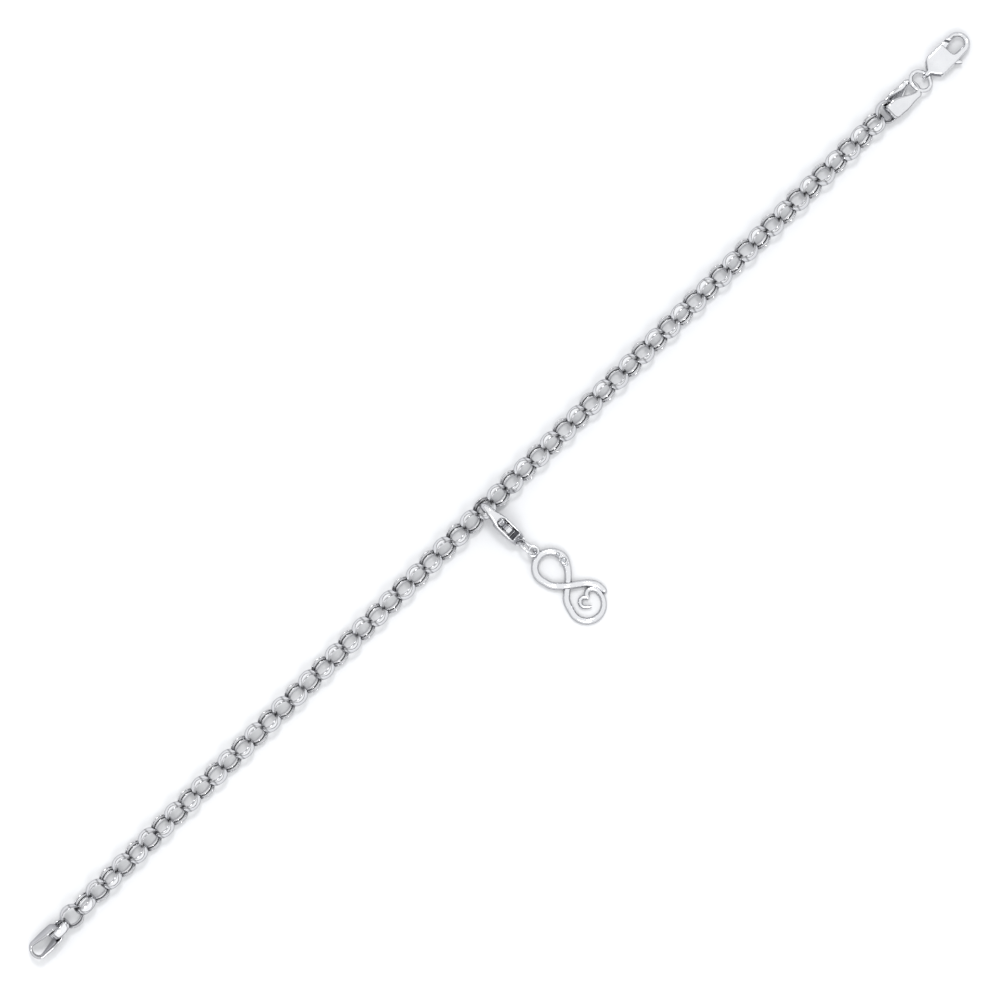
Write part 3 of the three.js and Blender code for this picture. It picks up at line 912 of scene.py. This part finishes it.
def lever_outline():
    """Thumb tab, back of the gate, gate end about the pivot, round the pivot, and the heel."""
    gate_top = BODY_HALF - 0.1
    tab = [(0, -0.4), (0.55, -1.85), (1.25, -2.5), (1.4, -2.25), (1.1, -1.5), (0.85, -0.4)]
    back = [(0.75, 0.4), (1.1, 0.8)]
    heel = [(-1.1, -0.3), (-1.15, -1.05), (-0.5, -1.1)]
    return np.concatenate([
        np.array(tab + back) + (PIVOT[0], 0),
        pivot_arc(GATE_END, 0.95, gate_top),
        [(PIVOT[0] + 0.6, gate_top), (PIVOT[0] + 0.05, PIVOT[1] + HUB)],
        arc(PIVOT, HUB, 90, 180, 8),
        np.array(heel) + (PIVOT[0], 0),
    ])


LEVER_OUTLINE = lever_outline()


def lever_distance(u, v, w):
    plate = soft_max(outline_distance(LEVER_OUTLINE, u, v), np.abs(w) - LEVER_HALF, 0.12)
    bore = BORE - np.hypot(u - PIVOT[0], v - PIVOT[1])
    return soft_max(plate, bore, 0.06)


LEVER = skin(lever_distance, *LEVER_BOX, CELL)
print(f"lever skin: {len(LEVER[1])} faces")

# %% [markdown]
# ## Two clasps in place
# The main clasp lies flat. The charm's clasp stands on edge with its spine up, hooked over the seat
# link. Each lever's joint gives its pivot and the direction across the faces; the slope along the
# clasp does the rest.


# %% A clasp's own axes in the frame
def clasp_axes(joint_name, slope):
    """Matrix with u, v and w as columns, and the place of u = v = w = 0."""
    joint = next(j for j in frame["joints"] if j["name"] == joint_name)
    w = -unit(np.array(joint["axis"], float))
    level = unit(np.cross(w, (0, 0, 1))) if abs(w[2]) < 0.5 else np.array([1.0, 0, 0])
    level = level if level[0] + level[1] > 0 else -level
    u = math.cos(math.radians(slope)) * level + math.sin(math.radians(slope)) * np.array([0, 0, 1])
    v = np.cross(w, u)
    start = np.array(joint["pos_m"]) / MM - PIVOT[0] * u - PIVOT[1] * v
    return np.stack([u, v, w], axis=1), start


def placed(part, axes, start):
    points, faces, uv = part
    return points @ axes.T + start, faces, uv


# %% Bodies and levers
def clasp_pieces(prefix, joint, body_node, lever_node, slope):
    axes, start = clasp_axes(joint, slope)
    for part, node, ridden in ((BODY, body_node, "bracelet"), (LEVER, lever_node, lever_node)):
        name = prefix + ("_body" if part is BODY else "_lever")
        piece = mesh_object(name, [placed(part, axes, start)], CLASP_SILVER, smooth_angle=80)
        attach(piece, ridden)
        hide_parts(node)


CHARM_CLASP_SLOPE = 15
clasp_pieces("lobster_clasp", "clasp_lever_hinge", "clasp_body", "clasp_lever", 0)
clasp_pieces(
    "charm_clasp",
    "charm_clasp_lever_hinge",
    "charm_clasp_body",
    "charm_clasp_lever",
    CHARM_CLASP_SLOPE,
)

# %% [markdown]
# ## The charm
# One stroke of half-round wire starts at a free tip on the right, crosses over itself, goes round
# the upper loop and back down under the crossing, round the lower loop, and ends as the right half
# of a small heart. A second, thinner stroke is the left half. The charm's own axes have the
# crossing at the origin, x to the right and y towards the bail.

# %% Its place
STROKE_HIGH = 0.95
TOP = (0.07, 3.7, 2.3)  # centre and radius of the upper loop
BOTTOM = (0.05, -3.78, 2.45)
CHARM_SLOPE = 2.4
SEAT_ANGLE, SEAT_STONE = -13, 0.38  # where the frame's middle stone is, and its radius
SEAT_SINK = 0.05  # how far its girdle is under the dome's top
NUDGE = np.array([0.17, 0.2, 0.0])  # how far the charm hangs from the frame's own, in its play


def charm_place():
    """The crossing's place, from the middle stone's box: that stone is a known way from it."""
    angle = math.radians(SEAT_ANGLE)
    stone = (TOP[0] + TOP[2] * math.cos(angle), TOP[1] + TOP[2] * math.sin(angle))
    height = STROKE_HIGH - SEAT_SINK - 0.2 * SEAT_STONE
    return middle("stone_middle") + NUDGE - turn("X", CHARM_SLOPE) @ np.array([*stone, height])


CHARM_AT = charm_place()
print("charm crossing at", CHARM_AT.round(2))


# %% A smooth curve through a few points
def smooth_curve(points, count, fine=24):
    """Curve through the points (Catmull-Rom, with steps by the root of their distance), read
    again at even distances along it."""
    points = np.array(points, float)
    padded = np.vstack([2 * points[0] - points[1], points, 2 * points[-1] - points[-2]])
    knots = np.concatenate([[0], np.cumsum(np.linalg.norm(np.diff(padded, axis=0), axis=1) ** 0.5)])
    p0, p1, p2, p3 = (padded[k : len(padded) - 3 + k, None] for k in range(4))
    t0, t1, t2, t3 = (knots[k : len(knots) - 3 + k, None, None] for k in range(4))
    t = t1 + (t2 - t1) * np.linspace(0, 1, fine, endpoint=False)[None, :, None]
    a1 = ((t1 - t) * p0 + (t - t0) * p1) / (t1 - t0)
    a2 = ((t2 - t) * p1 + (t - t1) * p2) / (t2 - t1)
    a3 = ((t3 - t) * p2 + (t - t2) * p3) / (t3 - t2)
    b1 = ((t2 - t) * a1 + (t - t0) * a2) / (t2 - t0)
    b2 = ((t3 - t) * a2 + (t - t1) * a3) / (t3 - t1)
    curve = (((t2 - t) * b1 + (t - t1) * b2) / (t2 - t1)).reshape(-1, points.shape[1])
    curve = np.vstack([curve, points[-1]])
    run = np.concatenate([[0], np.cumsum(np.linalg.norm(np.diff(curve, axis=0), axis=1))])
    even = np.linspace(0, run[-1], count)
    return np.stack([np.interp(even, run, axis) for axis in curve.T], axis=-1), even


# %% The long stroke's route
OVER = [(3.2, -4.6), (3.2, -3.6), (2.93, -2.6), (2.2, -1.65), (1.15, -0.83), (0, 0), (-0.95, 0.85),
        (-1.7, 1.75)]
UNDER = [(1.7, 1.85), (0.62, 0.65), (-0.73, -0.45), (-1.7, -1.4)]
RIGHT_LOBE = [(2.42, -3.1), (2.0, -2.62), (1.52, -2.47), (1.05, -2.68), (0.78, -3.15)]
LEFT_LOBE = [(0.84, -3.22), (0.62, -2.9), (0.3, -2.68), (-0.1, -2.64), (-0.54, -2.96),
             (-0.66, -3.44), (-0.4, -3.92), (0.26, -4.5)]
RISE = 0.35
REACH = 1.3


def long_route():
    """Flat points of the long stroke, from its free tip to the cleft of the heart."""
    top = arc(TOP[:2], TOP[2], 200, -30, 15)
    bottom = arc(BOTTOM[:2], BOTTOM[2], 160, 358, 12)
    flat, run = smooth_curve(np.concatenate([OVER, top, UNDER, bottom, RIGHT_LOBE]), 420)
    over = flat[:, 1].argmax() > np.arange(len(flat))
    lift = RISE * np.exp(-np.sum(flat**2, axis=1) / REACH**2) * over
    return np.column_stack([flat, lift]), run


# %% Stroke section
def stroke_section(width, high=STROKE_HIGH, count=22):
    """Flat underneath and domed above: side = half * cos a, rise = high * sin a, both to a power
    under one, which fills the dome's shoulders."""
    angle = np.linspace(0, math.pi, count)
    half = np.asarray(width)[:, None] / 2
    side = np.sign(np.cos(angle)) * np.abs(np.cos(angle)) ** 0.8 * half
    rise = np.sin(angle) ** 0.72 * high + 0 * half
    outline = np.stack([side, rise], axis=-1)
    return np.concatenate([outline, outline[:, :1]], axis=1)


def rounded_end(run, length, narrow):
    """1 along the stroke and falling as a quarter circle to narrow over the given length."""
    share = np.clip(run / length, 0, 1)
    return narrow + (1 - narrow) * np.sqrt(1 - (1 - share) ** 2)


# %% Strokes
LONG_AT = (0, 1.6, 30, 34)
LONG_WIDTH = (0.7, 1.1, 1.02, 0.8)
LEFT_AT = (0, 2.4)  # and its end
LEFT_WIDTH = (0.72, 0.6, 0.35)
LEFT_HIGH = 0.85
TIP_LENGTH, TIP_START = 0.45, 0.05  # the free tip's rounding, and its share of the width at first
SETTING, SETTING_SPREAD, SETTING_EXTRA = (2.25, 3.4), (0.7, 1.1), 0.3  # wider under the stones


def long_stroke():
    route, run = long_route()
    off = (route[:, :2] - SETTING) / SETTING_SPREAD
    widened = SETTING_EXTRA * np.exp(-np.sum(off**2, axis=1))
    section = stroke_section(np.interp(run, LONG_AT, LONG_WIDTH) + widened)
    return sweep(route, section * rounded_end(run, TIP_LENGTH, TIP_START)[:, None, None])


def left_stroke():
    flat, run = smooth_curve(LEFT_LOBE, 110)
    width = np.interp(run, (*LEFT_AT, run[-1]), LEFT_WIDTH)
    return sweep(np.column_stack([flat, 0 * run]), stroke_section(width, LEFT_HIGH))


strokes = [capped(long_stroke()), capped(left_stroke())]
print("strokes:", [grid.shape for grid in strokes])

# %% [markdown]
# ## Bail and stone setting
# The bail is a small ring soldered to the top of the upper loop. On the right of that loop
# three stones sit in a row, held by beads raised from the metal with a graver. Each stone has a low
# collar, and the beads are small balls at its sides.

# %% Stones, collars and beads: x, y and radius of each
STONES = {"upper": (2.1, 4.32, 0.3), "middle": (2.12, 3.14, 0.42), "lower": (1.98, 2.36, 0.2)}
BEADS = [(1.62, 2.5, 0.15), (2.36, 2.44, 0.17), (1.9, 3.78, 0.15), (2.42, 3.72, 0.14),
         (1.72, 4.72, 0.12), (2.3, 4.8, 0.12), (1.62, 3.5, 0.1), (2.62, 3.3, 0.1)]
COLLAR = [(0.0, 0.0), (1.32, 0.0), (1.3, 0.8), (1.18, 0.98), (1.04, 1.0), (0.98, 0.94),
          (0.8, 0.6), (0.0, 0.6)]


def collar(x, y, radius):
    """A turned collar: its profile in stone radii and stroke heights, spun about the stone."""
    profile = np.array(COLLAR) * (radius, STROKE_HIGH)
    return revolve(profile, 32) + (x, y, 0)


def bead(x, y, radius):
    """A ball: (r sin a cos b, r sin a sin b, r cos a)."""
    angle = np.linspace(0, math.pi, 12)
    profile = np.stack([radius * np.sin(angle), radius * np.cos(angle)], axis=-1)
    return revolve(profile, 18) + (x, y, STROKE_HIGH * 0.94)


# %% The charm as one piece
BAIL_X, BAIL_Y, BAIL_RADIUS, BAIL_WIRE = -0.06, 7.12, 0.69, 0.21


def on_charm(grid):
    return grid @ turn("X", CHARM_SLOPE).T + CHARM_AT


bail = wire_ring(BAIL_RADIUS, BAIL_WIRE, 48, 16) + (BAIL_X, BAIL_Y, STROKE_HIGH / 2)
charm_grids = strokes + [bail]
charm_grids += [collar(*stone) for stone in STONES.values()] + [bead(*b) for b in BEADS]
pendant = mesh_object(
    "heart_infinity_charm", [grid_parts(on_charm(grid)) for grid in charm_grids], SILVER
)
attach(pendant, "bracelet")
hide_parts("pendant")

# %% [markdown]
# ## The stones
# Clear round stones, brilliant cut: a flat table, facets down to the girdle and long facets to a
# point below. Facets are flat, so the mesh is faceted and its faces stay sharp.


# %% Stone finish
def clear_stone():
    material = bpy.data.materials.new("clear_stone")
    finish = Finish(material)
    finish.set(Base_Color=(0.7, 0.72, 0.75, 1), Roughness=0.02, IOR=2.15, Transmission_Weight=1.0)
    return material


CLEAR = clear_stone()


# %% Cut stones
def brilliant(x, y, radius):
    """Rings of sixteen corners: table, crown, girdle top and bottom, pavilion and point."""
    rows = [(0.0, 0.36, 0), (0.56, 0.36, 0), (0.8, 0.22, 0.5), (1.0, 0.03, 0), (1.0, -0.03, 0),
            (0.52, -0.42, 0.5), (0.0, -0.8, 0)]
    corner = np.arange(17)
    rings = []
    for ring_radius, height, offset in rows:
        angle = (corner + offset) * math.pi / 8
        ring = np.stack([np.cos(angle), np.sin(angle), 0 * angle], axis=-1) * ring_radius * radius
        rings.append(ring + (0, 0, height * radius))
    return np.stack(rings) + (x, y, STROKE_HIGH)


for name, stone in STONES.items():
    parts = [grid_parts(on_charm(brilliant(*stone)))]
    cut = mesh_object(f"cut_stone_{name}", parts, CLEAR, smooth_angle=1)
    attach(cut, "bracelet")
    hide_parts(f"stone_{name}")

# %% [markdown]
# ## Table and light
# The table is a plain, very pale, slightly blue surface. Polished metal shows nothing but what is
# round it, so the light matters as much as the finish. Jewellery is shown in a light tent that is
# brighter than the table under it, with a dark gap round its foot. Faces that look up are white,
# those that look down show the dimmer table, and between them the gap draws a dark line. A lamp high
# up beyond the top of the picture gives each piece its soft shadow, and a wider, weaker one
# opposite keeps the holes of the links from going dark.

# %% Table
TABLE_HALF = 1500.0
TABLE_LIGHT = (0.6, 0.602, 0.61)
TABLE_SHADE = (0.57, 0.574, 0.587)


def table_finish():
    material = bpy.data.materials.new("pale_table")
    finish = Finish(material)
    cloud = between(finish, noise(finish, 10, detail=2), 0.35, 0.65)
    finish.set(Base_Color=mix(finish, cloud, TABLE_SHADE, TABLE_LIGHT), Roughness=0.7)
    return material


span = np.linspace(-TABLE_HALF, TABLE_HALF, 2)
table_points = np.array([(x, y, 0.0) for x in span for y in span])
table_part = (table_points, np.array([[0, 2, 3, 1]]), np.zeros((4, 2)))
table = mesh_object("table", [table_part], table_finish())


# %% Lamp
def soft_light(name, place, size, power):
    """A round lamp of the given diameter, in metres, that faces the bracelet."""
    light = bpy.data.lights.new(name, "AREA")
    light.shape = "DISK"
    light.size = size
    light.energy = power
    lamp = bpy.data.objects.new(name, light)
    back = unit(place)
    side = unit(np.cross((0, 1, 0.01), back))
    lamp.matrix_world = view_matrix(place, side, back)
    bpy.context.scene.collection.objects.link(lamp)


KEY_PLACE = 0.37 * UPWARD + (0, 0, 0.86)  # metres
FILL_PLACE = -0.5 * UPWARD + (0, 0, 0.8)
soft_light("key", KEY_PLACE, size=0.2, power=2.9)
soft_light("fill", FILL_PLACE, size=0.4, power=2.4)

# %% Surroundings
TENT, TENT_WHITE = (0.03, 0.16), 1.27  # sine of the heights between which it turns white
GAP_DARK = 0.08


def surroundings():
    """Light by direction: white above the tent's foot and dark below it."""
    world = bpy.data.worlds.new("light_tent")
    bpy.context.scene.world = world
    finish = Finish(world, "Background")
    way = finish.node("ShaderNodeTexCoord", output="Generated")
    height = finish.node("ShaderNodeSeparateXYZ", None, {"Vector": way}, output="Z")
    tent = between(finish, height, *TENT) * TENT_WHITE
    finish.set(Color=(0.98, 0.99, 1.0, 1), Strength=tent + GAP_DARK)


surroundings()
bpy.context.scene.view_settings.view_transform = "Standard"
print("lit")
